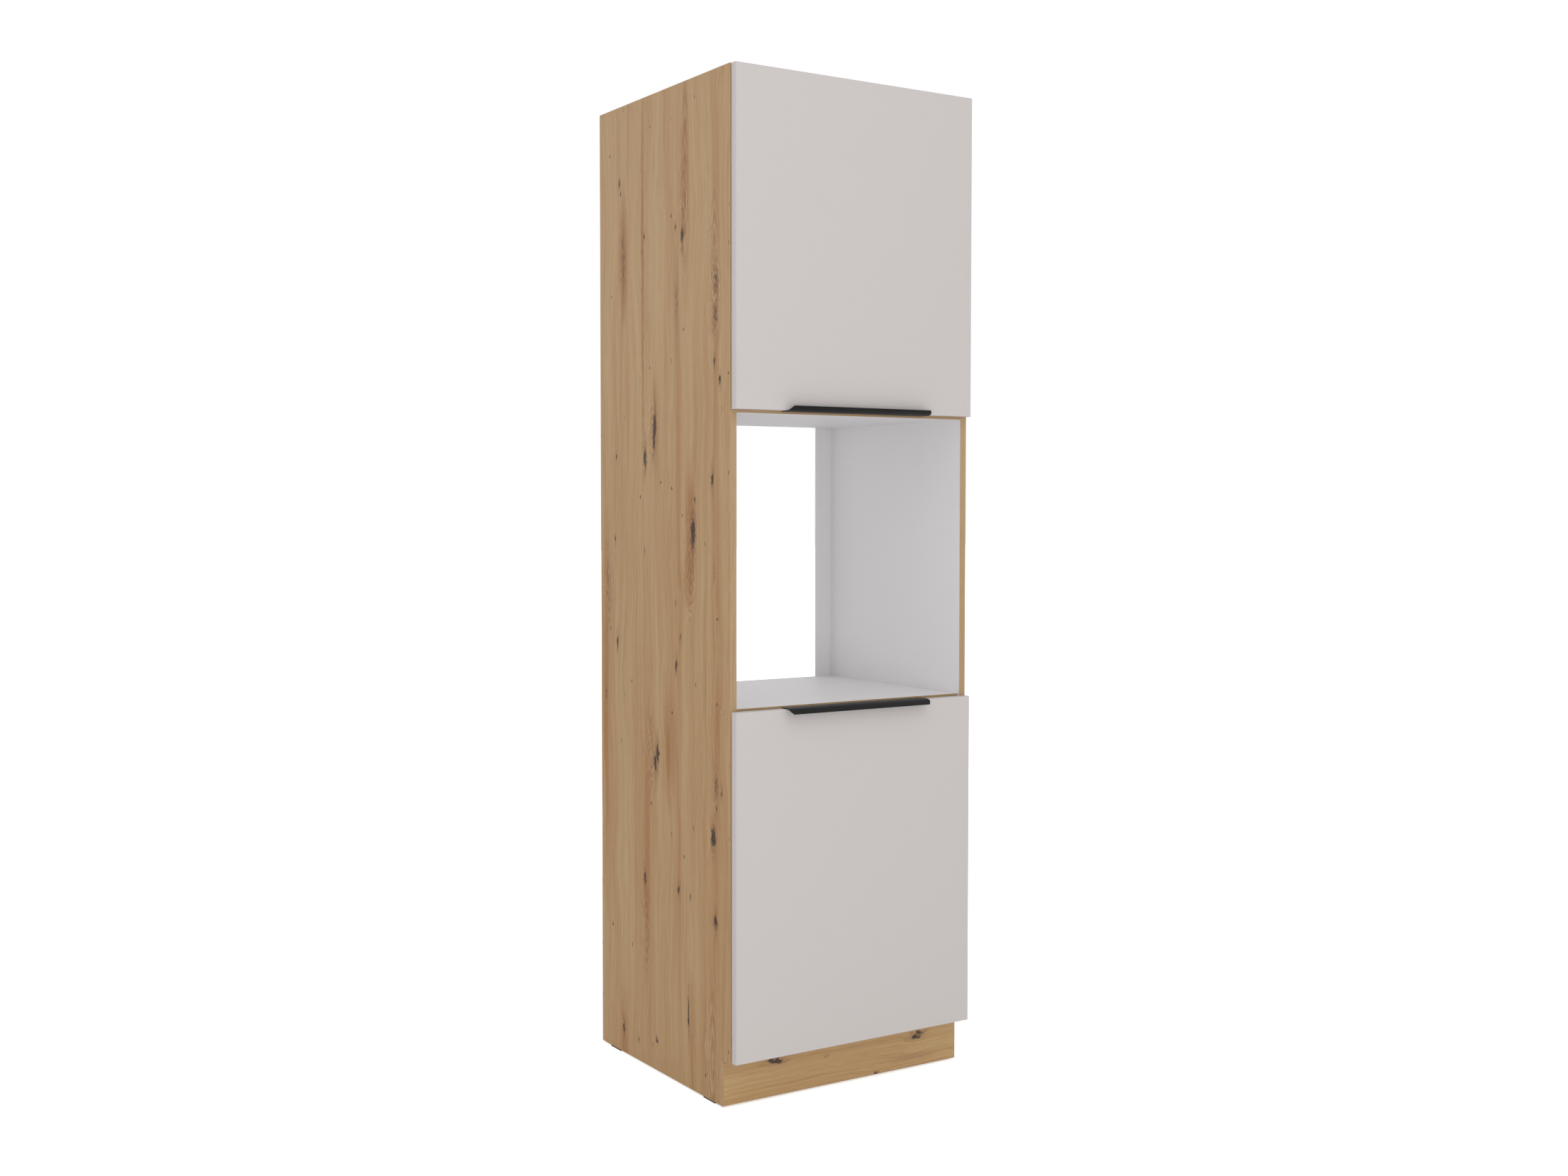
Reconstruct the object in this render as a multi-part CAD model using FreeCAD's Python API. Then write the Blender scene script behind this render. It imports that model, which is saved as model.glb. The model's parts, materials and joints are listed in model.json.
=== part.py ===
"""Tall appliance housing cabinet, one STEP file for each node.

While a piece is shaped, X is zero on the cabinet's centre line, Y is zero on the front plane of the
carcass and Z is zero on the floor. X runs to the right, Y towards the wall and Z up. save() then
moves everything along Y, so that the origin lies under the middle of the finished cabinet.
All lengths are in millimetres.
"""
import FreeCAD, Part
import math
import os

os.makedirs("parts", exist_ok=True)

# Driving dimensions of the carcass
width = 600.0
height = 2100.0
carcass_depth = 560.0
board = 15.0
band = 1.0
glide_height = 4.0
rear_space = 68.0              # between the back edge of the level panels and the wall
bottom_level = 100.0           # under face of the bottom panel
niche_floor_level = 817.0      # top face of the niche floor
niche_height = 595.0
niche_floor_set_back = 7.0

# Plinth
plinth_set_back = 30.0
plinth_thickness = 8.0
plinth_end_band = 2.0
notch_drop = 2.0               # from the bottom panel down to the top of the notch
plinth_top_gap = 0.5

# Thin back panels, which stand in grooves of the side panels
sheet = 3.0
groove_depth = 8.0
groove_spare = 0.4
strip_show = 44.0              # how far a strip stands into the niche from the side panel
sheet_seam = 0.4
sheet_top_margin = 2.0

# Doors
door_thickness = 16.0
door_gap = 2.0                 # between the back of a door and the carcass
door_side_margin = 2.0
door_band = 1.0
band_round = 0.5
door_end_margin = 1.0          # from a door's far end to the top or the bottom of the carcass
niche_floor_door_margin = 4.0  # from the niche floor down to the lower door
niche_ceiling_door_margin = 6.0 # from the niche ceiling up to the upper door

# Edge-grip handle: a flange behind the door, a plate over its edge and a curled lip
handle_length = 356.0
handle_sheet = 1.8
handle_flange_thickness = 1.2
handle_flange_height = 20.0
handle_flat_reach = 4.0        # flat stretch of the plate in front of the door
handle_curl_radius = 25.0
handle_curl_angle = 53.0
handle_corner_radius = 11.0
handle_screw_inset = 28.0      # from the end of a handle
handle_screw_radius = 1.5
handle_screw_head_radius = 3.0
handle_screw_length = 13.0

# Screws and caps of the carcass
screw_front_row = 33.0         # from the front plane
screw_rear_inset = 40.0        # from the back edge of a level panel
screw_head_radius = 5.0
screw_head_length = 3.5
screw_shank_radius = 3.5
screw_length = 50.0
cap_radius = 5.5
cap_thickness = 0.8
hole_spare = 1.0               # a blind hole is this much deeper than what it holds

# Shelves and their pins
shelf_front = 20.0
shelf_back_gap = 3.0
shelf_side_gap = 1.0
shelf_level_share = 0.5        # of the clear height of its compartment, to its top face
pin_radius = 2.5
pin_depth = 8.0
pin_tongue_length = 9.0
pin_tongue_width = 8.0
pin_tongue_thickness = 2.5
pin_front_inset = 32.0         # from the front of a shelf
pin_rear_inset = 52.0          # from the back edge of a level panel

# Corner blocks behind the plinth
block_size = 20.0
block_screw_radius = 1.75
block_screw_head_radius = 3.2
block_screw_head_length = 2.0
block_screw_bite = 6.0
block_screw_shift = 4.5        # the two screws of a block pass each other at this height either way

# Glides under the side panels
glide_length = 45.0
glide_width = 13.0
glide_front_inset = 26.0       # from the back of the plinth
glide_rear_inset = 39.0        # from the wall
glide_chamfer = 1.2
glide_peg_radius = 1.2
glide_peg_length = 10.0
glide_peg_inset = 10.0

# Soft bumpers on the doors
bumper_radius = 4.0
bumper_thickness = 1.6
bumper_inset = 30.0

# Concealed hinges on the right-hand side panel
hinge_inset = 100.0            # from the end of a door to the middle of a hinge
cup_radius = 17.5
cup_edge = 3.0                 # from the door's edge to the cup
cup_front_left = 1.8           # thickness of door in front of a cup
cup_wall = 0.8
cup_bore_spare = 0.2
flange_thickness = 1.1
flange_ear_radius = 6.0
flange_margin = 0.5
cup_screw_pitch = 45.0
cup_screw_offset = 9.5         # from the middle of the cup, away from the door's edge
cup_screw_radius = 1.75
cup_screw_head_radius = 3.4
cup_screw_head_length = 1.4
cup_screw_length = 12.0
plate_thickness = 3.0
plate_wing_length = 50.0
plate_wing_width = 16.0
plate_corner_radius = 4.0
plate_screw_pitch = 32.0
plate_screw_row = 37.0         # from the front plane
plate_screw_radius = 2.5
plate_screw_head_radius = 3.6
plate_screw_head_length = 1.8
plate_screw_length = 13.0
rail_height = 7.0
rail_front = 22.0
rail_back = 56.0
rail_half_width = 4.6
arm_thickness = 2.2
arm_cheek = 1.2
arm_side_gap = 0.2
arm_panel_gap = 4.0
arm_back = 60.0
arm_crank_back = 20.0          # where the arm leaves the rail
arm_crank_front = 12.0
arm_sweep_gap = 1.0            # between the arm and the flange of the cup when the door stands open
arm_screw_row = 46.0
arm_screw_radius = 2.0
arm_screw_head_radius = 3.4
arm_screw_head_length = 1.5
arm_screw_length = 9.0

# The pin that a door turns on, one in each hinge
hinge_pin_radius = 1.0
running_clearance = 0.05
eye_radius = 1.8
eye_half_width = 3.0
eye_side_gap = 0.4
eye_floor_gap = 0.3
eye_wall_gap = 0.6
tongue_drop = 0.5              # the arm's tongue lies this far in front of the pin's middle
lug_reach = 2.6                # from the pin's middle to the faces of a lug

# Every cut runs this far past the faces it opens
overrun = 1.0

# Lengths that follow from the driving dimensions
half_width = width / 2
side_inner = half_width - board
panel_reach = carcass_depth - rear_space
niche_ceiling_level = niche_floor_level + niche_height
top_under = height - board
notch_top = bottom_level - notch_drop
plinth_top = notch_top - plinth_top_gap
block_level = (glide_height + plinth_top) / 2
lower_door_bottom = bottom_level + door_end_margin
lower_door_top = niche_floor_level - niche_floor_door_margin
upper_door_bottom = niche_ceiling_level + niche_ceiling_door_margin
upper_door_top = height - door_end_margin
door_half_width = half_width - door_side_margin
door_back = -door_gap
door_front = door_back - door_thickness
curl = math.radians(handle_curl_angle)
handle_curl_start = door_front - handle_flat_reach
handle_front = handle_curl_start - handle_curl_radius * math.sin(curl)
middle_depth = (carcass_depth + handle_front) / 2
groove_back = panel_reach + sheet + groove_spare
plinth_back = plinth_set_back + plinth_thickness
screw_rows = (screw_front_row, panel_reach - screw_rear_inset)
pin_columns = (shelf_front + pin_front_inset, panel_reach - pin_rear_inset)
glide_starts = (plinth_back + glide_front_inset, carcass_depth - glide_rear_inset - glide_length)
cup_depth = door_thickness - cup_front_left
cup_middle = door_half_width - cup_edge - cup_radius
flange_face = door_back + flange_thickness
plate_face = side_inner - plate_thickness
rail_face = plate_face - rail_height
arm_face = rail_face - arm_thickness
arm_half_width = rail_half_width + arm_side_gap + arm_cheek
pin_from_edge = cup_edge + cup_wall + eye_wall_gap + eye_radius
pin_from_back = cup_depth - cup_wall - eye_floor_gap - eye_radius
hinge_axis = (door_half_width - pin_from_edge, door_back - pin_from_back)
arm_reach = pin_from_back + flange_thickness + arm_sweep_gap + arm_thickness / 2
cup_floor = door_back - cup_depth + cup_wall

# The four level panels: name, under face and distance from the front plane to the front band
level_panels = (
    ("bottom", bottom_level, 0.0),
    ("niche_floor", niche_floor_level - board, niche_floor_set_back),
    ("niche_ceiling", niche_ceiling_level, 0.0),
    ("top", top_under, 0.0),
)
compartments = (
    ("upper", niche_ceiling_level + board, top_under),
    ("lower", bottom_level + board, niche_floor_level - board),
)
shelves = [(name, low + (high - low) * shelf_level_share) for name, low, high in compartments]
doors = (
    ("upper", upper_door_bottom, upper_door_top),
    ("lower", lower_door_bottom, lower_door_top),
)
sides = (("left", -1), ("right", 1))


def save(node, *solids):
    """Write one node, moved so that the origin is under the middle of the cabinet."""
    shape = solids[0] if len(solids) == 1 else Part.makeCompound(list(solids))
    shape.translate(FreeCAD.Vector(0, -middle_depth, 0))
    shape.exportStep("parts/" + node + ".step")
    print(node, len(shape.Solids), "solids")


def block(across, back, up):
    """A box from its two limits along X, Y and Z."""
    size = [max(pair) - min(pair) for pair in (across, back, up)]
    corner = FreeCAD.Vector(min(across), min(back), min(up))
    return Part.makeBox(size[0], size[1], size[2], corner)


def rod(start, direction, radius, length):
    """A cylinder from a point along a direction."""
    return Part.makeCylinder(radius, length, FreeCAD.Vector(*start), FreeCAD.Vector(*direction))


def along(start, direction, distance):
    """The point at a distance from a start along a unit direction."""
    return tuple(s + d * distance for s, d in zip(start, direction))


def mirrored(across, sign):
    """Two limits along X, on the left when sign is -1 and on the right when it is 1."""
    return tuple(sign * x for x in across)


def cut_all(shape, tools):
    """Take every tool away from a shape."""
    return shape.cut(Part.makeCompound(list(tools)))


def screw_spots():
    """Every screw of the carcass: side sign, distance back and height."""
    for _, sign in sides:
        for _, under, _ in level_panels:
            for back in screw_rows:
                yield sign, back, under + board / 2


def carcass_screw(sign, back, up):
    """A carcass screw, driven from the outer face of a side panel into the end of a panel."""
    start = (sign * half_width, back, up)
    inward = (-sign, 0, 0)
    head = rod(start, inward, screw_head_radius, screw_head_length)
    return head.fuse(rod(start, inward, screw_shank_radius, screw_length)).removeSplitter()


def screw_hole(sign, back, up):
    """The hole of a carcass screw, deeper than the screw."""
    deeper = rod((sign * half_width, back, up), (-sign, 0, 0), screw_shank_radius, screw_length + hole_spare)
    return carcass_screw(sign, back, up).fuse(deeper).removeSplitter()


def screw_cap(sign, back, up):
    """A thin plastic cap over the head of a carcass screw."""
    return rod((sign * half_width, back, up), (sign, 0, 0), cap_radius, cap_thickness)


def shelf_pin(sign, back, level):
    """A shelf pin: a plug in the side panel and a flat tongue under the shelf."""
    top = level - board
    centre = top - pin_radius
    plug = rod((sign * side_inner, back, centre), (sign, 0, 0), pin_radius, pin_depth)
    tongue = block(mirrored((side_inner - pin_tongue_length, side_inner), sign),
                   (back - pin_tongue_width / 2, back + pin_tongue_width / 2),
                   (top - pin_tongue_thickness, top))
    return plug.fuse(tongue).removeSplitter()


def pin_holes(sign):
    """The shelf-pin holes in the inner face of a side panel."""
    for _, level in shelves:
        for back in pin_columns:
            start = (sign * (side_inner - overrun), back, level - board - pin_radius)
            yield rod(start, (sign, 0, 0), pin_radius, pin_depth + hole_spare + overrun)


def glide(sign, start):
    """A flat plastic glide with two pegs knocked into the lower edge of a side panel."""
    middle = sign * (half_width - board / 2)
    foot = block((middle - glide_width / 2, middle + glide_width / 2),
                 (start, start + glide_length), (0, glide_height))
    low_edges = [edge for edge in foot.Edges
                 if edge.BoundBox.ZMax < glide_height / 2]
    foot = foot.makeChamfer(glide_chamfer, low_edges)
    for peg in glide_pegs(sign, start):
        foot = foot.fuse(peg)
    return foot.removeSplitter()


def glide_pegs(sign, start):
    """The two pegs of a glide, which also shape their holes."""
    middle = sign * (half_width - board / 2)
    for back in (start + glide_peg_inset, start + glide_length - glide_peg_inset):
        yield rod((middle, back, glide_height), (0, 0, 1), glide_peg_radius, glide_peg_length)


def block_screws(sign):
    """The two screws of a corner block: one into the plinth, one into the side panel."""
    middle_x = sign * (side_inner - block_size / 2)
    middle_y = plinth_back + block_size / 2
    reach = block_size + block_screw_bite
    low = block_level - block_screw_shift
    high = block_level + block_screw_shift
    for start, direction in (((middle_x, plinth_back + block_size, low), (0, -1, 0)),
                             ((sign * (side_inner - block_size), middle_y, high), (sign, 0, 0))):
        head = rod(start, tuple(-d for d in direction), block_screw_head_radius, block_screw_head_length)
        yield head.fuse(rod(start, direction, block_screw_radius, reach)).removeSplitter()


def corner_block(sign):
    """A plastic block that ties the plinth to a side panel."""
    body = block(mirrored((side_inner - block_size, side_inner), sign),
                 (plinth_back, plinth_back + block_size),
                 (block_level - block_size / 2, block_level + block_size / 2))
    return cut_all(body, block_screws(sign))


def side_panel(sign):
    """A side panel with its notch, groove and every hole that its fittings need."""
    panel = block(mirrored((side_inner, half_width), sign), (band, carcass_depth), (glide_height, height))
    past_side = mirrored((side_inner - overrun, half_width + overrun), sign)
    cuts = [
        block(past_side, (-overrun, plinth_back), (0, notch_top)),
        block(mirrored((side_inner - overrun, side_inner + groove_depth), sign),
              (panel_reach, groove_back), (0, height + overrun)),
    ]
    cuts += [screw_hole(*spot) for spot in screw_spots() if spot[0] == sign]
    cuts += list(pin_holes(sign))
    cuts += [peg for start in glide_starts for peg in glide_pegs(sign, start)]
    cuts += list(block_screws(sign))
    if sign > 0:
        cuts += [screw for middle in hinge_levels() for screw in plate_screws(middle)]
    return cut_all(panel, cuts)


def level_panel(under, set_back):
    """A level panel between the side panels, with the holes for its screws."""
    panel = block((-side_inner, side_inner), (set_back + band, panel_reach), (under, under + board))
    middle = under + board / 2
    return cut_all(panel, [screw_hole(*spot) for spot in screw_spots() if spot[2] == middle])


def back_sheet(across, up):
    """A thin back panel between two limits along X and two along Z."""
    return block(across, (panel_reach, panel_reach + sheet), up)


def shelf(level):
    """An adjustable shelf."""
    reach = side_inner - shelf_side_gap
    return block((-reach, reach), (shelf_front + band, panel_reach - shelf_back_gap),
                 (level - board, level))


def hinge_levels():
    """Heights of every hinge."""
    return [level for _, low, high in doors for level in door_hinges(low, high)]


def door_hinges(low, high):
    """Heights of the two hinges of a door."""
    return low + hinge_inset, high - hinge_inset


def strap(first, second, radius, low, high):
    """A flat bar with round ends about two points, between two heights."""
    run = math.dist(first, second)
    turn = math.degrees(math.atan2(second[1] - first[1], second[0] - first[0]))
    bar = Part.makeBox(run, 2 * radius, high - low, FreeCAD.Vector(0, -radius, 0))
    for across in (0, run):
        bar = bar.fuse(Part.makeCylinder(radius, high - low, FreeCAD.Vector(across, 0, 0)))
    bar = bar.removeSplitter()
    bar.rotate(FreeCAD.Vector(0, 0, 0), FreeCAD.Vector(0, 0, 1), turn)
    bar.translate(FreeCAD.Vector(first[0], first[1], low))
    return bar


def upright(point, radius, low, high):
    """A cylinder along Z about a point in plan."""
    return rod((point[0], point[1], low), (0, 0, 1), radius, high - low)


def plate_screws(middle):
    """The two screws of a mounting plate, which also shape their holes."""
    for up in (middle - plate_screw_pitch / 2, middle + plate_screw_pitch / 2):
        face = (plate_face, plate_screw_row, up)
        head = rod(face, (-1, 0, 0), plate_screw_head_radius, plate_screw_head_length)
        yield head.fuse(rod(face, (1, 0, 0), plate_screw_radius, plate_screw_length)).removeSplitter()


def arm_screw(middle):
    """The screw that clamps an arm to its mounting plate."""
    face = (arm_face, arm_screw_row, middle)
    head = rod(face, (-1, 0, 0), arm_screw_head_radius, arm_screw_head_length)
    return head.fuse(rod(face, (1, 0, 0), arm_screw_radius, arm_screw_length)).removeSplitter()


def mounting_plate(middle):
    """A hinge's mounting plate: two wings with screw holes and a rail for the arm."""
    wings = block((plate_face, side_inner),
                  (plate_screw_row - plate_wing_width / 2, plate_screw_row + plate_wing_width / 2),
                  (middle - plate_wing_length / 2, middle + plate_wing_length / 2))
    upright_edges = [edge for edge in wings.Edges if edge.BoundBox.XLength > plate_thickness / 2]
    wings = wings.makeFillet(plate_corner_radius, upright_edges)
    rail = block((rail_face, side_inner), (rail_front, rail_back),
                 (middle - rail_half_width, middle + rail_half_width))
    return cut_all(wings.fuse(rail).removeSplitter(), [*plate_screws(middle), arm_screw(middle)])


def hinge_arm(middle):
    """A cranked arm: a channel over the rail, a crank, and a tongue with an eye for the pin."""
    half = arm_thickness / 2
    low = middle - arm_half_width
    high = middle + arm_half_width
    crank = hinge_axis[0] - arm_reach
    knee = (crank, hinge_axis[1] - tongue_drop)
    path = [(rail_face - half, arm_back), (rail_face - half, arm_crank_back), (crank, arm_crank_front), knee]
    arm = strap(path[0], path[1], half, low, high)
    for first, second in zip(path[1:], path[2:]):
        arm = arm.fuse(strap(first, second, half, low, high))
    inner = rail_half_width + arm_side_gap
    for side in (-1, 1):
        limits = sorted((middle + side * inner, middle + side * arm_half_width))
        arm = arm.fuse(block((arm_face, side_inner - arm_panel_gap), (rail_front, arm_back), limits))
    low = middle - eye_half_width
    high = middle + eye_half_width
    arm = arm.fuse(strap(knee, hinge_axis, half, low, high))
    arm = arm.fuse(upright(hinge_axis, eye_radius, low, high)).removeSplitter()
    bore = upright(hinge_axis, hinge_pin_radius + running_clearance, low - overrun, high + overrun)
    return cut_all(arm, [bore, arm_screw(middle)])


def hinge_pin(middle):
    """The pin of a hinge, whose ends stop inside the wall of its cup."""
    far = hinge_axis[0] + hinge_pin_radius - cup_middle
    reach = math.sqrt((cup_radius - cup_wall / 2) ** 2 - far ** 2)
    return upright(hinge_axis, hinge_pin_radius, middle - reach, middle + reach)


def cup_screws(middle):
    """The two screws of a cup, which also shape their holes."""
    for up in (middle - cup_screw_pitch / 2, middle + cup_screw_pitch / 2):
        face = (cup_middle - cup_screw_offset, flange_face, up)
        head = rod(face, (0, 1, 0), cup_screw_head_radius, cup_screw_head_length)
        yield head.fuse(rod(face, (0, -1, 0), cup_screw_radius, cup_screw_length)).removeSplitter()


def cup_bore(middle, spare=0.0):
    """The round bore for a cup in the back of a door."""
    start = (cup_middle, door_back - cup_depth - spare, middle)
    return rod(start, (0, 1, 0), cup_radius, cup_depth + spare + overrun)


def cup_lugs(middle):
    """The two lugs inside a cup that hold the ends of the pin."""
    limit = rod((cup_middle, door_back - cup_depth, middle), (0, 1, 0), cup_radius, cup_depth)
    start = eye_half_width + eye_side_gap
    for side in (-1, 1):
        limits = sorted((middle + side * start, middle + side * cup_radius))
        lug = block((hinge_axis[0] - lug_reach, hinge_axis[0] + cup_radius),
                    (door_back - cup_depth, hinge_axis[1] + lug_reach), limits)
        yield lug.common(limit)


def hinge_cup(middle):
    """A cup with a flange that has an ear for each screw, and two lugs inside for the pin."""
    cup = rod((cup_middle, door_back - cup_depth, middle), (0, 1, 0), cup_radius, cup_depth)
    flange = rod((cup_middle, door_back, middle), (0, 1, 0), cup_radius + flange_margin, flange_thickness)
    ear_middle = cup_middle - cup_screw_offset
    ears = block((ear_middle - flange_ear_radius, ear_middle + flange_ear_radius),
                 (door_back, flange_face),
                 (middle - cup_screw_pitch / 2, middle + cup_screw_pitch / 2))
    for up in (middle - cup_screw_pitch / 2, middle + cup_screw_pitch / 2):
        ears = ears.fuse(rod((ear_middle, door_back, up), (0, 1, 0), flange_ear_radius, flange_thickness))
    body = cup.fuse(flange).fuse(ears).removeSplitter()
    body = body.cut(rod((cup_middle, cup_floor, middle), (0, 1, 0),
                        cup_radius - cup_wall, cup_depth + flange_thickness))
    for lug in cup_lugs(middle):
        body = body.fuse(lug)
    return cut_all(body.removeSplitter(), [*cup_screws(middle), hinge_pin(middle)])


def handle_screw(across, edge, away):
    """A countersunk screw through a handle's flange into the back of its door."""
    face = (across, door_back + handle_flange_thickness, edge - away * handle_flange_height / 2)
    head = Part.makeCone(handle_screw_head_radius, handle_screw_radius, handle_flange_thickness,
                         FreeCAD.Vector(*face), FreeCAD.Vector(0, -1, 0))
    start = along(face, (0, -1, 0), handle_flange_thickness)
    length = handle_screw_length - handle_flange_thickness
    return head.fuse(rod(start, (0, -1, 0), handle_screw_radius, length)).removeSplitter()


def handle_screws(edge, away):
    """Every screw of one handle."""
    return [handle_screw(across, edge, away)
            for across in (handle_screw_inset - handle_length / 2, 0, handle_length / 2 - handle_screw_inset)]


def handle(edge, away):
    """A handle on a door's edge: away is 1 over a top edge and -1 under a bottom edge."""
    outer = handle_curl_radius
    inner = handle_curl_radius - handle_sheet
    back = door_back + handle_flange_thickness
    far = edge + away * handle_sheet
    centre = far - away * outer

    def on_curl(radius, turn):
        return (handle_curl_start - radius * math.sin(turn), centre + away * radius * math.cos(turn))

    def point(pair):
        return FreeCAD.Vector(-handle_length / 2, pair[0], pair[1])

    def arc(radius, start, end):
        middle = (start + end) / 2
        return Part.Arc(*(point(on_curl(radius, turn)) for turn in (start, middle, end))).toShape()

    flange_end = edge - away * handle_flange_height
    corners = [(handle_curl_start, edge), (door_back, edge), (door_back, flange_end),
               (back, flange_end), (back, far), (handle_curl_start, far)]
    lines = [Part.makeLine(point(a), point(b)) for a, b in zip(corners, corners[1:])]
    tip = Part.makeLine(point(on_curl(outer, curl)), point(on_curl(inner, curl)))
    outline = Part.Wire([*lines, arc(outer, 0, curl), tip, arc(inner, curl, 0)])
    shape = Part.Face(outline).extrude(FreeCAD.Vector(handle_length, 0, 0))
    deep = handle_flange_height + handle_curl_radius
    limit = block((-handle_length / 2, handle_length / 2),
                  (handle_front, back + overrun), (edge - deep, edge + deep))
    corners = [e for e in limit.Edges
               if e.BoundBox.ZLength > deep and e.BoundBox.YMax < handle_front + overrun]
    limit = limit.makeFillet(handle_corner_radius, corners)
    return cut_all(shape.common(limit), handle_screws(edge, away))


def door_panel(low, high, edge, away):
    """A door board inside its edge bands, with the bores and holes that its fittings need."""
    reach = door_half_width - door_band
    panel = block((-reach, reach), (door_front, door_back), (low + door_band, high - door_band))
    cuts = list(handle_screws(edge, away))
    for middle in door_hinges(low, high):
        cuts.append(cup_bore(middle, cup_bore_spare))
        cuts += list(cup_screws(middle))
    return cut_all(panel, cuts)


def door_blank(low, high):
    """A door's whole outline, with its outer edges rounded."""
    blank = block((-door_half_width, door_half_width), (door_front, door_back), (low, high))
    around = [edge for edge in blank.Edges if edge.BoundBox.YLength < door_thickness / 2]
    return blank.makeFillet(band_round, around)


def door_bands(low, high):
    """The four edge bands of a door: name and shape."""
    blank = door_blank(low, high)
    reach = door_half_width - door_band
    thick = (door_front, door_back)
    tall = (low, high)
    for name, limits in (("left_band", ((-door_half_width, -reach), thick, tall)),
                         ("right_band", ((reach, door_half_width), thick, tall)),
                         ("bottom_band", ((-reach, reach), thick, (low, low + door_band))),
                         ("top_band", ((-reach, reach), thick, (high - door_band, high)))):
        yield name, blank.common(block(*limits))


def bumper(up):
    """A soft bumper on the back of a door, in front of the left side panel."""
    across = -half_width + board / 2
    return rod((across, door_back, up), (0, 1, 0), bumper_radius, bumper_thickness)


def save_carcass():
    """The boards, sheets and bands of the carcass."""
    for name, sign in sides:
        save("side_panel_" + name, side_panel(sign))
        save("side_front_band_" + name,
             block(mirrored((side_inner, half_width), sign), (0, band), (notch_top, height)))
    for name, under, set_back in level_panels:
        save(name + "_panel", level_panel(under, set_back))
        save(name + "_front_band",
             block((-side_inner, side_inner), (set_back, set_back + band), (under, under + board)))
    half_board = board / 2
    seam = sheet_seam / 2
    ceiling_middle = niche_ceiling_level + half_board
    floor_middle = niche_floor_level - half_board
    reach = side_inner + groove_depth - groove_spare
    save("back_panel_upper",
         back_sheet((-reach, reach), (ceiling_middle + seam, height - sheet_top_margin)))
    save("back_panel_lower",
         back_sheet((-reach, reach), (bottom_level + sheet_top_margin, floor_middle - seam)))
    for name, sign in sides:
        limits = sorted(mirrored((side_inner - strip_show, reach), sign))
        save("niche_back_strip_" + name,
             back_sheet(limits, (floor_middle + seam, ceiling_middle - seam)))
    for name, level in shelves:
        save(name + "_shelf", shelf(level))
    save("shelf_front_bands",
         *[block((-side_inner + shelf_side_gap, side_inner - shelf_side_gap),
                 (shelf_front, shelf_front + band), (level - board, level)) for _, level in shelves])


def save_plinth():
    """The plinth, its end bands and the blocks behind it."""
    reach = half_width - plinth_end_band
    tall = (glide_height, plinth_top)
    deep = (plinth_set_back, plinth_back)
    board_shape = block((-reach, reach), deep, tall)
    screws = [screw for _, sign in sides for screw in block_screws(sign)]
    save("plinth_board", cut_all(board_shape, screws))
    save("plinth_end_bands",
         *[block(mirrored((reach, half_width), sign), deep, tall) for _, sign in sides])
    save("plinth_corner_blocks", *[corner_block(sign) for _, sign in sides])
    save("plinth_block_screws", *screws)


def save_small_carcass_pieces():
    """Screws, caps, pins and glides."""
    save("carcass_screws", *[carcass_screw(*spot) for spot in screw_spots()])
    save("screw_cover_caps", *[screw_cap(*spot) for spot in screw_spots()])
    save("shelf_pins", *[shelf_pin(sign, back, level) for _, sign in sides
                         for _, level in shelves for back in pin_columns])
    save("floor_glides", *[glide(sign, start) for _, sign in sides for start in glide_starts])


def save_fixed_hinge_pieces():
    """The hinge pieces that stay on the side panel."""
    levels = hinge_levels()
    save("hinge_mounting_plates", *[mounting_plate(level) for level in levels])
    save("hinge_plate_screws", *[screw for level in levels for screw in plate_screws(level)])
    save("hinge_arms", *[hinge_arm(level) for level in levels])
    save("hinge_arm_screws", *[arm_screw(level) for level in levels])


def save_door(name, low, high):
    """One door with its bands, handle, cups, pins and bumpers."""
    away = 1 if name == "lower" else -1
    edge = high if name == "lower" else low
    levels = door_hinges(low, high)
    save(name + "_door_panel", door_panel(low, high, edge, away))
    for part_name, shape in door_bands(low, high):
        save(name + "_door_" + part_name, shape)
    save(name + "_handle", handle(edge, away))
    save(name + "_handle_screws", *handle_screws(edge, away))
    save(name + "_hinge_cups", *[hinge_cup(level) for level in levels])
    save(name + "_cup_screws", *[screw for level in levels for screw in cup_screws(level)])
    save(name + "_hinge_pins", *[hinge_pin(level) for level in levels])
    save(name + "_door_bumpers", *[bumper(up) for up in (low + bumper_inset, high - bumper_inset)])


save_carcass()
save_plinth()
save_small_carcass_pieces()
save_fixed_hinge_pieces()
for door in doors:
    save_door(*door)
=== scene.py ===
"""Looks of a tall appliance housing cabinet.

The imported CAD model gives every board, band and fitting its place and shape. This script gives them
their finishes, models the two handles, the screw caps and the hinge and handle screws again with
their fine detail, and adds a floor, four lamps and the camera of the photograph.

Lengths are in metres unless a name ends in mm. X runs to the right, Y towards the wall, Z up.
"""
import json
import math

import bpy
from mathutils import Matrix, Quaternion, Vector


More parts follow.
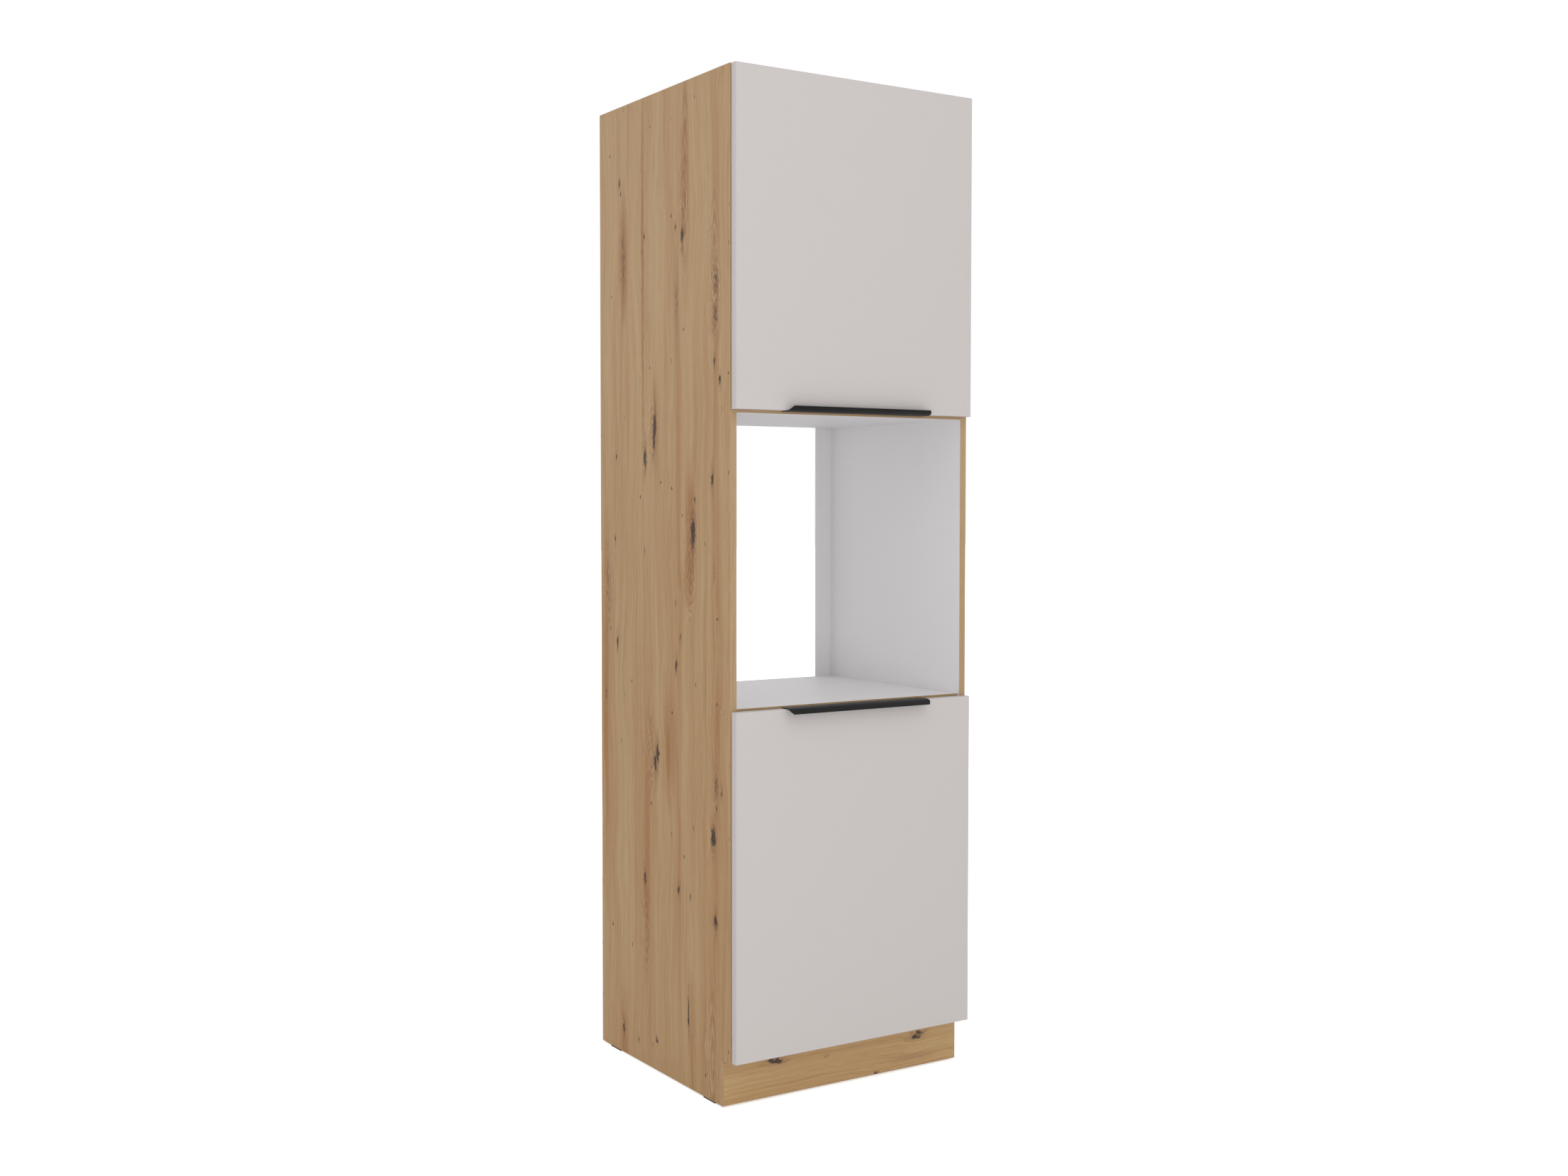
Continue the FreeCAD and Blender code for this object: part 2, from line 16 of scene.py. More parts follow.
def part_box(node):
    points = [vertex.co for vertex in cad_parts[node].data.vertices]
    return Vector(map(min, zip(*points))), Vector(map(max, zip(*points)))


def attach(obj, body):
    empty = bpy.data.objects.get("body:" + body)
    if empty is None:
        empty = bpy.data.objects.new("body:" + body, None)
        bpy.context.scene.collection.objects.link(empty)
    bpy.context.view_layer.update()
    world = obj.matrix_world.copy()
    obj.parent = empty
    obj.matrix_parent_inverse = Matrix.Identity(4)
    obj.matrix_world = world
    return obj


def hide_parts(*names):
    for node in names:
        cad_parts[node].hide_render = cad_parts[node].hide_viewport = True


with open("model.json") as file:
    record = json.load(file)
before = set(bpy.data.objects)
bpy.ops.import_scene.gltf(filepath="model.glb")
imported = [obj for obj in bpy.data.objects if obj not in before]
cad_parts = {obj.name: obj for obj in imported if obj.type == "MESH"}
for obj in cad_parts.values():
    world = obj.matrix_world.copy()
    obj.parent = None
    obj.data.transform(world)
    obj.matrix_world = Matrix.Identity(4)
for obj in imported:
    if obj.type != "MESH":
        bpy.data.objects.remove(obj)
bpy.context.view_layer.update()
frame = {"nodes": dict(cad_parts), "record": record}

MM = 0.001
X, Y, Z = range(3)              # the axes, as places in a point or a normal

# Faces of the carcass that other places are worked out from
front_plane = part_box("side_front_band_left")[0].y
side_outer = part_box("side_panel_right")[1].x
carcass_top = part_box("side_panel_right")[1].z

# Camera of the photograph
camera_place = (-2.1250, -3.2453, 1.2250)
camera_turn = 0.5632            # to the right of straight ahead, in radians
camera_drop = 0.0398            # below level, in radians
camera_lens_mm = 40.29
camera_shift = (0.01795, -0.0076)
sensor_width_mm = 36.0
camera_reach = 100              # how far off the camera still sees

# Floor, world and lamps
floor_size = 80
floor_lift = 0.6                # glow of the floor near the cabinet for the camera; 1 further out
floor_lift_start, floor_lift_end = 0.4, 2.2
world_strength = 0.72           # on the object; 1 where the camera, gloss or glass sees it
lamps = (                       # name, place, what it is aimed at, diameter and watts
    ("front", (-3.3, -4.2, 0.15), (0.0, 0.0, 0.3), 2.2, 62),
    ("above", (-0.8, -2.3, 3.6), (0.0, 0.0, 0.7), 2.0, 9),
    ("left", (-4.2, -0.2, 1.2), (0.0, 0.0, 0.6), 3.0, 2),
    ("back", (-1.0, 5.0, 3.0), (0.0, 0.0, 1.0), 3.0, 22),
)

# Plain colours
white_melamine = "#e7e5e6"
door_grey = "#d4cecb"
core_brown, core_pale = "#9a7a55", "#cbb088"
fibre_dark, fibre_pale = "#7a5a3c", "#a5805a"
# The oak's yellow beige and its warm brown: on the sides, the plinth and the edge bands
side_oak = ("#b89a72", "#a3774c")
plinth_oak = ("#c9a775", "#ad8357")
band_oak = ("#bc9e76", "#b08c66")
oak_streak = "#7f573f"          # veins, and the wood above and below a knot
knot_heart = "#231a17"

# Knots of the oak on the side panels: distance from the front plane, height, half width and half
# height in mm, how far they push the grain aside in mm, how dark their heart is, and how closely
# rings follow each other round them (0 for none)
side_knots = (
    (54, 1672, 9, 26, 30, 0.6, 9), (56, 1612, 9, 22, 30, 0.6, 9), (60, 1735, 10, 60, 20, 0.05, 9),
    (190, 1786, 5, 21, 8, 0.9, 0), (218, 1806, 2.2, 6, 3, 0.9, 0), (184, 1850, 8, 45, 14, 0.1, 8),
    (449, 1756, 8, 55, 12, 0.5, 0), (452, 1800, 3, 9, 9, 0.9, 0), (466, 1934, 3, 6, 4, 0.9, 0),
    (353, 1804, 2.4, 6, 4, 0.9, 0), (363, 1770, 1.8, 4, 3, 0.9, 0), (215, 1655, 7, 42, 9, 0.45, 0),
    (60, 1516, 3.5, 8, 6, 0.9, 0), (39, 1478, 4, 8, 6, 0.95, 0), (69, 1278, 4.5, 13, 9, 0.95, 8),
    (309, 1397, 6.5, 25, 9, 1.0, 0), (314, 1366, 5, 18, 7, 0.95, 0),
    (320, 1385, 11, 26, 12, 0.0, 9), (352, 1328, 5.5, 19, 24, 0.95, 9),
    (484, 1336, 2.2, 5, 4, 0.9, 0), (491, 1151, 2.2, 6, 4, 0.9, 0), (356, 1128, 2, 5, 3, 0.8, 0),
    (147, 1171, 9, 29, 22, 1.0, 7), (155, 1100, 11, 34, 36, 0.25, 11),
    (158, 1050, 10, 28, 28, 0.1, 11), (528, 1060, 5, 60, 8, 0.45, 0), (218, 890, 4, 10, 8, 0.95, 0),
    (201, 949, 2.5, 7, 5, 0.7, 0), (220, 1021, 2, 4, 3, 0.9, 0), (63, 1094, 5, 12, 8, 0.1, 8),
    (481, 923, 4, 12, 10, 0.95, 0), (536, 804, 4, 6, 6, 0.6, 6), (522, 1029, 8, 32, 9, 0.3, 9),
    (299, 696, 5, 18, 12, 1.0, 0), (309, 673, 5, 16, 12, 1.0, 0), (326, 690, 11, 30, 26, 0.1, 11),
    (252, 708, 6, 20, 5, 0.2, 0), (54, 656, 6, 22, 26, 0.6, 9), (34, 648, 3, 8, 7, 0.8, 7),
    (66, 549, 9.5, 17, 16, 1.0, 7), (57, 379, 6, 13, 18, 0.95, 9), (209, 417, 4.5, 7, 8, 0.9, 0),
    (161, 409, 2, 5, 3, 0.8, 0), (357, 413, 4.5, 12, 10, 0.95, 8), (351, 295, 9, 40, 18, 0.1, 11),
    (168, 163, 2.8, 27, 5, 1.0, 0), (457, 60, 4, 10, 10, 0.9, 0), (304, 69, 3, 5, 5, 0.8, 7),
    (388, 49, 2, 4, 3, 0.8, 0), (178, 1900, 9, 90, 22, 0.05, 9), (70, 90, 12, 70, 26, 0.0, 9),
    (361, 1800, 1.4, 230, 2, 0.1, 0),
)
# Knots of the plinth: height, distance from the middle, then as above
plinth_knots = (
    (78, -176, 5, 12, 6, 1.0, 0), (74, -166, 4, 9, 5, 0.95, 0), (68, 191, 5, 10, 8, 1.0, 8),
    (76, 200, 5, 9, 7, 0.95, 8), (26, 182, 6, 24, 6, 0.15, 0), (64, -45, 2, 3, 3, 0.7, 0),
    (5, 86, 2.5, 4, 3, 0.8, 0),
)
# Warm brown lanes of the side panels: distance from the front plane, height, half width and half
# height in mm, and strength
side_lanes = (
    (57, 1050, 26, 1700, 0.4), (160, 1165, 30, 190, 0.9), (362, 1700, 8, 560, 0.8),
    (448, 1770, 28, 190, 0.8), (538, 820, 18, 420, 0.6), (306, 1400, 22, 170, 0.6),
    (348, 520, 22, 420, 0.6), (245, 720, 44, 190, 0.6), (206, 1050, 14, 1600, 0.2),
    (184, 1880, 20, 220, 0.6), (455, 20, 26, 200, 0.6), (150, 120, 20, 300, 0.5),
)
# Noises of the oak print: step from the print's seed, size across and along the grain in mm, detail
# and roughness
oak_noises = {
    "bends": (0, 120, 330, 2.0, 0.5),       # slow bends of all the grain
    "waves": (1, 30, 320, 3.0, 0.5),        # waves of a few lines together
    "torn_across": (3, 6, 20, 3.0, 0.65),   # ragged outlines of knots and lanes
    "torn_along": (5, 8, 16, 3.0, 0.65),
    "broad": (11, 40, 1100, 2.0, 0.5),      # bands of slow and of fast growth
    "stripes": (17, 8, 420, 4.0, 0.6),      # growth rings cut lengthwise
    "lines": (23, 3.2, 600, 2.0, 0.5),      # growth lines, drawn twice as coarse so that they show
    "fibres": (31, 1.7, 42, 3.0, 0.65),     # open pores, drawn five times as wide so that they show
    "veins": (37, 5, 260, 3.0, 0.55),       # red-brown streaks
    "splits": (41, 3, 14, 3.0, 0.7),        # cracks in the heart of a knot
}
bends_swing, waves_swing = 17, 2        # how far they shift the grain, in wobbles
tear_across_mm, tear_along_mm = 15, 24
push_reach = 3.6                        # where a knot's push ends, in sizes of the knot
heart_rim, heart_core = 1.8, 0.5        # where its dark heart starts and is full
rings_rim, rings_core = 3.0, 0.9        # where the rings round it start and are full
streak_width, streak_length = 1.9, 4.2  # of the brown above and below it, in sizes of the knot
streak_margin_mm = 2                    # added to its half width
streak_core = 0.1                       # where this brown is full
streak_least, streak_by_depth = 0.3, 0.6    # its strength at a pale heart, and more at a dark one
break_start, break_full = 0.25, 0.65    # growth lines that break this brown up
break_least = 0.35                      # what they leave of it
lane_core = 0.15                        # where a warm lane is full
# How much bands and stripes warm the colour, how much each pattern lightens and darkens it, and how
# much of that each of red, green and blue gets: a darker line is also redder
broad_warmth, stripe_warmth, even_warmth = 1.4, 2.3, 0.3
line_tone, fibre_tone, stripe_tone, ring_tone = 0.36, 0.42, 0.4, 0.19
tone_of_channels = (0.65, 1.1, 1.35)
vein_start, vein_full, vein_cover = 0.58, 0.76, 0.36
pin_cell_mm = (46, 105)                 # each cell has room for one pin knot of 2 to 5 mm
pin_rim, pin_core = 0.062, 0.02         # its radius, and where it is full, in cells
split_swing = 2.4
heart_start, heart_full, heart_cover = 0.36, 0.95, 0.88

# The other patterns
chips_per_mm = 0.45             # particle board has chips of 1 to 4 mm: one to each 2.2 mm
pearl_per_mm = 0.9              # a press plate's pearl of 0.3 mm, drawn at 1.1 mm so that it shows
peel_per_mm = 1.1               # the orange peel of powder coat, 0.9 mm
plastic_grain_mm = 0.8          # a mould's eroded grain of 0.1 mm, drawn coarser so that it shows
fibre_clump_mm = 6              # of the pressed fibres on the back of hardboard
rolling_width_mm, rolling_length_mm = 0.6, 14   # rolling marks of 0.1 mm, drawn wider to show
noise_low, noise_high = 0.3, 0.7    # nearly all of a noise lies between these
plastic_uneven = (-0.05, 0.05)  # how roughness wanders from its mean
steel_uneven = (-0.06, 0.08)
# How deep each relief is
print_depth = 0.12 * MM
pearl_depth = 0.06 * MM
paint_depth = 0.08 * MM
grain_depth = 0.03 * MM
peel_depth = 0.05 * MM
rolling_depth = 0.01 * MM
facing_least = 0.7              # part of a normal from which a surface faces along an axis
printed_reach = 4 * MM          # faces this near to the outermost one are printed


def linear(code):
    """A colour from its sRGB hex code."""
    parts = [int(code[i:i + 2], 16) / 255 for i in (1, 3, 5)]
    steps = [p / 12.92 if p <= 0.04045 else ((p + 0.055) / 1.055) ** 2.4 for p in parts]
    return (*steps, 1.0)


def feed(node, inputs):
    """Set or link inputs, by place or by name; a node as a value stands for its first output."""
    for key, value in inputs.items() if isinstance(inputs, dict) else enumerate(inputs):
        if isinstance(value, bpy.types.Node):
            value = value.outputs[0]
        if isinstance(value, bpy.types.NodeSocket):
            node.id_data.links.new(value, node.inputs[key])
        else:
            node.inputs[key].default_value = value


def add_node(tree, kind, inputs=(), **settings):
    """Add one node with its settings, and with its inputs set or linked.

    A Mix node's inputs are 0 for its factor, 2 and 3 for numbers, and 6 and 7 for colours. Its
    outputs are 0 for a number and 2 for a colour.
    """
    made = tree.nodes.new("ShaderNode" + kind)
    for name, value in settings.items():
        setattr(made, name, value)
    feed(made, inputs)
    return made


def new_material(name, **inputs):
    """A material with what is the same all over it: returns it, its tree and its shader."""
    made = bpy.data.materials.new(name)
    made.use_nodes = True
    shader = made.node_tree.nodes["Principled BSDF"]
    feed(shader, {key.replace("_", " "): value for key, value in inputs.items()})
    return made, made.node_tree, shader


def object_lengths(tree):
    """The object coordinates in mm, as one point and in three parts, and the normal's parts."""
    where = add_node(tree, "TexCoord")
    point = add_node(tree, "VectorMath", {0: where.outputs["Object"], "Scale": 1 / MM},
                     operation="SCALE")
    place = add_node(tree, "SeparateXYZ", (point,))
    normal = add_node(tree, "SeparateXYZ", (where.outputs["Normal"],))
    return point, place.outputs, normal.outputs


def centred(tree, value, swing):
    """A value from 0 to 1 turned into one that swings by half of this to either side of zero."""
    return add_node(tree, "Math", (value, swing, -swing / 2), operation="MULTIPLY_ADD")


def cloud(tree, across, along, seed, across_mm, along_mm, detail, roughness):
    """Noise on two lengths in millimetres, each with the size of its own grain."""
    place = add_node(tree, "CombineXYZ",
                     (add_node(tree, "Math", (across, across_mm), operation="DIVIDE"),
                      add_node(tree, "Math", (along, along_mm), operation="DIVIDE"), seed))
    return add_node(tree, "TexNoise", {"Vector": place, "Scale": 1.0, "Detail": detail,
                                       "Roughness": roughness})


def scaled_distance(tree, point, centre, sizes):
    """How far a point is from a centre, counted in sizes along each axis."""
    share = tuple(1 / size for size in sizes) + (0.0,)
    scaled = add_node(tree, "VectorMath", (point, share), operation="MULTIPLY")
    target = tuple(c * k for c, k in zip(centre, share)) + (0.0,)
    return add_node(tree, "VectorMath", (scaled, target), operation="DISTANCE").outputs["Value"]


def oak_grain(tree, across, along, figure, seed, codes, wobble_mm=4.0, pin_share=0.0, contrast=1.0):
    """Rustic oak decor on two lengths in mm: returns its colour and its tone.

    The grain lines are contours of a lane number. Each knot pushes the lanes aside, so the lines
    close round it, leaves a brown streak above and below, and has a dark torn heart.
    """
    knots, warm_lanes = figure
    light_code, warm_code = codes
    smooth = {"interpolation_type": "SMOOTHSTEP"}

    def noise(name, over):
        """One of the print's noises, laid across the board or across its lanes."""
        step, *grain = oak_noises[name]
        return cloud(tree, over, along, seed + step, *grain)

    bends = centred(tree, noise("bends", across), bends_swing * wobble_mm)
    waves = centred(tree, noise("waves", across), waves_swing * wobble_mm)
    lane = add_node(tree, "Math", (across, bends), operation="ADD")
    lane = add_node(tree, "Math", (lane, waves), operation="ADD")
    torn_across = centred(tree, noise("torn_across", across), tear_across_mm)
    torn_along = centred(tree, noise("torn_along", across), tear_along_mm)
    torn = add_node(tree, "CombineXYZ",
                    (add_node(tree, "Math", (across, torn_across), operation="ADD"),
                     add_node(tree, "Math", (along, torn_along), operation="ADD")))
    heart = 0.0
    streak = 0.0
    rings = 0.0
    for knot_across, knot_along, half_across, half_along, push, depth, ring in knots:
        centre = (knot_across, knot_along)
        near = scaled_distance(tree, torn, centre, (half_across, half_along))
        far = scaled_distance(tree, torn, centre, (streak_width * half_across + streak_margin_mm,
                                                   streak_length * half_along))
        pushed = add_node(tree, "MapRange", (near, push_reach, 0.0, 0.0, push), **smooth)
        lane = add_node(tree, "Math", (lane, pushed), operation="ADD")
        dark = add_node(tree, "MapRange", (near, heart_rim, heart_core, 0.0, depth), **smooth)
        heart = add_node(tree, "Math", (heart, dark), operation="MAXIMUM")
        brown = add_node(tree, "MapRange", (far, 1.0, streak_core, 0.0,
                                            streak_least + streak_by_depth * depth), **smooth)
        streak = add_node(tree, "Math", (streak, brown), operation="MAXIMUM")
        if ring:
            turn = add_node(tree, "Math", (near, ring), operation="MULTIPLY")
            wave = add_node(tree, "Math", (turn,), operation="SINE")
            shown = add_node(tree, "MapRange", (near, rings_rim, rings_core), **smooth)
            rings = add_node(tree, "Math", (wave, shown, rings), operation="MULTIPLY_ADD")

    # Yellow beige wood with warm brown lanes, the listed ones among them
    stripes = noise("stripes", lane)
    lines = noise("lines", lane)
    warmth = centred(tree, noise("broad", lane), broad_warmth)
    for lane_across, lane_along, half_across, half_along, strength in warm_lanes:
        apart = scaled_distance(tree, torn, (lane_across, lane_along), (half_across, half_along))
        warm = add_node(tree, "MapRange", (apart, 1.0, lane_core, 0.0, strength), **smooth)
        warmth = add_node(tree, "Math", (warmth, warm), operation="ADD")
    for more in (centred(tree, stripes, stripe_warmth), even_warmth):
        warmth = add_node(tree, "Math", (warmth, more), operation="ADD")
    colour = add_node(tree, "Mix", {0: warmth, 6: linear(light_code), 7: linear(warm_code)},
                      data_type="RGBA").outputs[2]

    # Growth lines and pores make it lighter and darker
    tone = add_node(tree, "Math", (centred(tree, lines, line_tone * contrast),
                                   centred(tree, noise("fibres", lane), fibre_tone)),
                    operation="ADD")
    tone = add_node(tree, "Math", (tone, centred(tree, stripes, stripe_tone * contrast)),
                    operation="ADD")
    tone = add_node(tree, "Math", (rings, ring_tone, tone), operation="MULTIPLY_ADD")
    shade = add_node(tree, "CombineColor",
                     [add_node(tree, "Math", (tone, share, 1.0), operation="MULTIPLY_ADD")
                      for share in tone_of_channels])
    colour = add_node(tree, "Mix", {0: 1.0, 6: colour, 7: shade}, data_type="RGBA",
                      blend_type="MULTIPLY").outputs[2]

    # Red-brown veins follow the lanes, and the brown at knots breaks up along the growth lines
    vein = add_node(tree, "MapRange", (noise("veins", lane), vein_start, vein_full), **smooth)
    vein = add_node(tree, "Math", (vein, vein_cover), operation="MULTIPLY")
    broken = add_node(tree, "MapRange", (lines, break_start, break_full, 1.0, break_least),
                      **smooth)
    streak = add_node(tree, "Math", (streak, broken), operation="MULTIPLY")
    brown = add_node(tree, "Math", (vein, streak), operation="MAXIMUM")
    colour = add_node(tree, "Mix", {0: brown, 6: colour, 7: linear(oak_streak)},
                      data_type="RGBA").outputs[2]

    # Pin knots stand in a share of the cells, and cracks run through every dark heart
    cells = add_node(tree, "VectorMath", (torn, (1 / pin_cell_mm[0], 1 / pin_cell_mm[1], 0)),
                     operation="MULTIPLY")
    pins = add_node(tree, "TexVoronoi", {"Vector": cells, "Scale": 1.0, "Randomness": 1.0},
                    voronoi_dimensions="2D")
    chance = add_node(tree, "SeparateColor", (pins.outputs["Color"],))
    chosen = add_node(tree, "Math", (chance, pin_share), operation="LESS_THAN")
    pin = add_node(tree, "MapRange", (pins.outputs["Distance"], pin_rim, pin_core), **smooth)
    pin = add_node(tree, "Math", (pin, chosen), operation="MULTIPLY")
    heart = add_node(tree, "Math", (heart, pin), operation="MAXIMUM")
    splits = centred(tree, noise("splits", across), split_swing)
    heart = add_node(tree, "Math", (heart, splits), operation="ADD")
    heart = add_node(tree, "MapRange", (heart, heart_start, heart_full, 0.0, heart_cover), **smooth)
    colour = add_node(tree, "Mix", {0: heart, 6: colour, 7: linear(knot_heart)},
                      data_type="RGBA").outputs[2]
    return colour, tone


def chipboard_core(tree, point):
    """Bare particle board on a cut edge: pale and dark chips."""
    chips = add_node(tree, "TexVoronoi", {"Vector": point, "Scale": chips_per_mm})
    tint = add_node(tree, "SeparateColor", (chips.outputs["Color"],))
    return add_node(tree, "Mix", {0: tint, 6: linear(core_brown), 7: linear(core_pale)},
                    data_type="RGBA").outputs[2]


def pearl_height(tree, point):
    """The fine pearl grain that a press plate leaves on melamine and on paint."""
    return add_node(tree, "TexNoise", {"Vector": point, "Scale": pearl_per_mm, "Detail": 2.0,
                                       "Roughness": 0.5})


def facing(tree, part):
    """One where a surface faces along the axis of this part of its normal, zero across it."""
    size = add_node(tree, "Math", (part,), operation="ABSOLUTE")
    return add_node(tree, "Math", (size, facing_least), operation="GREATER_THAN")


def oak_decor_material(name, across_axis, along_axis, knots, seed, codes, wobble_mm, contrast=1.0):
    """Oak-print melamine or edge band: satin, with a shallow printed grain."""
    made, tree, shader = new_material(name, Roughness=0.52)
    _, place, _ = object_lengths(tree)
    colour, tone = oak_grain(tree, place[across_axis], place[along_axis], (knots, ()), seed, codes,
                             wobble_mm, contrast=contrast)
    relief = add_node(tree, "Bump", {"Height": tone, "Distance": print_depth, "Strength": 0.5})
    feed(shader, {"Base Color": colour, "Normal": relief})
    return made


def side_board_material():
    """Side board: oak print on the outer face, white melamine inside, bare core on cut edges."""
    made, tree, shader = new_material("Oak_Print_And_White_Melamine_Board", Roughness=0.52,
                                      Specular_IOR_Level=0.25)
    point, place, normal = object_lengths(tree)
    back = add_node(tree, "Math", (place[Y], front_plane / MM), operation="SUBTRACT")
    # The right side is the same print turned upside down
    on_right = add_node(tree, "Math", (place[X], 0.0), operation="GREATER_THAN")
    flipped = add_node(tree, "Math", (carcass_top / MM, place[Z]), operation="SUBTRACT")
    up = add_node(tree, "Mix", {0: on_right, 2: place[Z], 3: flipped}, data_type="FLOAT")
    oak, tone = oak_grain(tree, back, up, (side_knots, side_lanes), seed=0.0, codes=side_oak,
                          pin_share=0.2)
    sideways = add_node(tree, "Math", (place[X],), operation="ABSOLUTE")
    outer = add_node(tree, "Math", (sideways, (side_outer - printed_reach) / MM),
                     operation="GREATER_THAN")
    face = add_node(tree, "Mix", {0: outer, 6: linear(white_melamine), 7: oak},
                    data_type="RGBA").outputs[2]
    colour = add_node(tree, "Mix", {0: facing(tree, normal[X]), 6: chipboard_core(tree, point),
                                    7: face}, data_type="RGBA").outputs[2]
    relief = add_node(tree, "Bump", {"Height": tone, "Distance": print_depth, "Strength": 0.4})
    feed(shader, {"Base Color": colour, "Normal": relief})
    return made


def faced_board_material(name, code, face_axis, roughness):
    """A plain melamine board: coloured on its two faces, bare core on cut edges and in bores."""
    made, tree, shader = new_material(name, Roughness=roughness)
    point, _, normal = object_lengths(tree)
    colour = add_node(tree, "Mix", {0: facing(tree, normal[face_axis]),
                                    6: chipboard_core(tree, point), 7: linear(code)},
                      data_type="RGBA").outputs[2]
    relief = add_node(tree, "Bump", {"Height": pearl_height(tree, point), "Distance": pearl_depth,
                                     "Strength": 0.35})
    feed(shader, {"Base Color": colour, "Normal": relief})
    return made


def hardboard_material():
    """Thin hardboard: painted white, raw brown fibre only on the side towards the wall."""
    made, tree, shader = new_material("White_Painted_Hardboard", Roughness=0.55)
    point, place, normal = object_lengths(tree)
    fibre = cloud(tree, place[X], place[Z], seed=4.0, across_mm=fibre_clump_mm,
                  along_mm=fibre_clump_mm, detail=4.0, roughness=0.7)
    raw = add_node(tree, "Mix", {0: fibre, 6: linear(fibre_dark), 7: linear(fibre_pale)},
                   data_type="RGBA").outputs[2]
    rear = add_node(tree, "Math", (normal[Y], facing_least), operation="GREATER_THAN")
    colour = add_node(tree, "Mix", {0: rear, 6: linear(white_melamine), 7: raw},
                      data_type="RGBA").outputs[2]
    relief = add_node(tree, "Bump", {"Height": pearl_height(tree, point), "Distance": paint_depth,
                                     "Strength": 0.4})
    feed(shader, {"Base Color": colour, "Normal": relief})
    return made


def grained_plastic_material(name, code, roughness):
    """Moulded plastic or edge band: an even colour with a fine eroded grain."""
    made, tree, shader = new_material(name, Base_Color=linear(code))
    point, _, _ = object_lengths(tree)
    grain = add_node(tree, "TexNoise", {"Vector": point, "Scale": 1 / plastic_grain_mm,
                                        "Detail": 2.0})
    uneven = add_node(tree, "MapRange", (grain, noise_low, noise_high,
                                         *(roughness + step for step in plastic_uneven)),
                      interpolation_type="SMOOTHSTEP")
    relief = add_node(tree, "Bump", {"Height": grain, "Distance": grain_depth, "Strength": 0.5})
    feed(shader, {"Roughness": uneven, "Normal": relief})
    return made


def powder_coat_material():
    """Matt black powder coat on a bent metal strip: fine orange peel and a soft broad gloss."""
    made, tree, shader = new_material("Matt_Black_Powder_Coat", Base_Color=linear("#1b1b1c"),
                                      Roughness=0.55, Specular_IOR_Level=0.18)
    point, _, _ = object_lengths(tree)
    peel = add_node(tree, "TexNoise", {"Vector": point, "Scale": peel_per_mm, "Detail": 2.0,
                                       "Roughness": 0.6})
    relief = add_node(tree, "Bump", {"Height": peel, "Distance": peel_depth, "Strength": 0.5})
    feed(shader, {"Normal": relief})
    return made


def plated_steel_material(name, code, roughness, axis):
    """Nickel or zinc plated steel: bright metal with rolling marks along one axis."""
    made, tree, shader = new_material(name, Base_Color=linear(code), Metallic=1.0)
    _, place, _ = object_lengths(tree)
    marks = cloud(tree, place[X], place[axis], seed=2.0, across_mm=rolling_width_mm,
                  along_mm=rolling_length_mm, detail=3.0, roughness=0.6)
    uneven = add_node(tree, "MapRange", (marks, noise_low, noise_high,
                                         *(roughness + step for step in steel_uneven)),
                      interpolation_type="SMOOTHSTEP")
    relief = add_node(tree, "Bump", {"Height": marks, "Distance": rolling_depth, "Strength": 0.4})
    feed(shader, {"Roughness": uneven, "Normal": relief})
    return made


